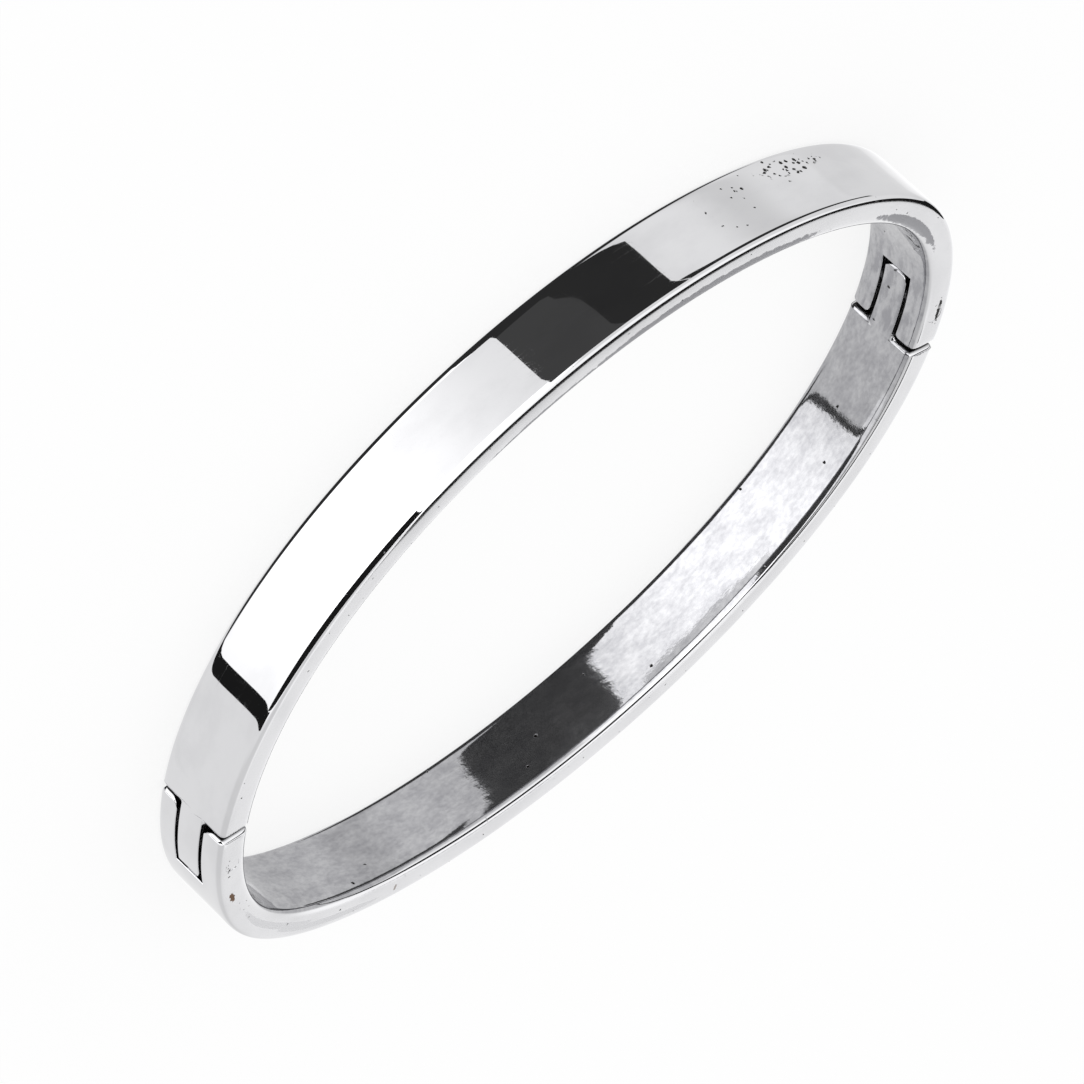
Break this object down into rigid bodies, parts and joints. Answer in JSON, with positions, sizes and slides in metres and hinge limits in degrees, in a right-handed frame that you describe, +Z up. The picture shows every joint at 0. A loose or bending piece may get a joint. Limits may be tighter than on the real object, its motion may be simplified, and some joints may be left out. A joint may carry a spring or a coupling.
{
  "type": "hinged bangle bracelet",
  "caption": "Oval polished steel bangle in two halves, joined by a pinned tongue-and-fork hinge and closed by a tongue-and-fork clasp with a sprung ball snap.",
  "frame": {"origin": "middle of the oval, in the plane of the lower rim that the closed bangle lies on", "axes": "+X along the oval's length towards the clasp, +Z up along the band's axis, the front half on the -Y side"},
  "size_m": [0.066, 0.049, 0.006],
  "materials": {
    "polished_steel": "mirror polished outside, satin inside, with fine scratches and pits from wear",
    "pin_steel": "ground flush with the rims",
    "ball_steel": "polished bearing ball",
    "spring_steel": "drawn wire"
  },
  "bodies": {
    "back": {"back_half": "polished_steel", "detent_plug_upper": "pin_steel", "detent_plug_lower": "pin_steel"},
    "front": {"front_half": "polished_steel", "hinge_pin": "pin_steel", "detent_spring": "spring_steel"},
    "ball_upper": {"detent_ball_upper": "ball_steel"},
    "ball_lower": {"detent_ball_lower": "ball_steel"}
  },
  "joints": [
    {"name": "hinge", "type": "hinge", "parent": "back", "child": "front", "pos_m": [-0.03002, 0.0078, 0.003], "axis": [0, 0, -1], "range_deg": [0, 80]},
    {"name": "ball_upper_press", "type": "slide", "parent": "front", "child": "ball_upper", "axis": [0, 0, -1], "range_m": [0, 0.0002], "stiffness_N_per_m": 2000, "deforming": ["detent_spring"]},
    {"name": "ball_lower_press", "type": "slide", "parent": "front", "child": "ball_lower", "axis": [0, 0, 1], "range_m": [0, 0.0002], "stiffness_N_per_m": 2000, "deforming": ["detent_spring"]}
  ]
}
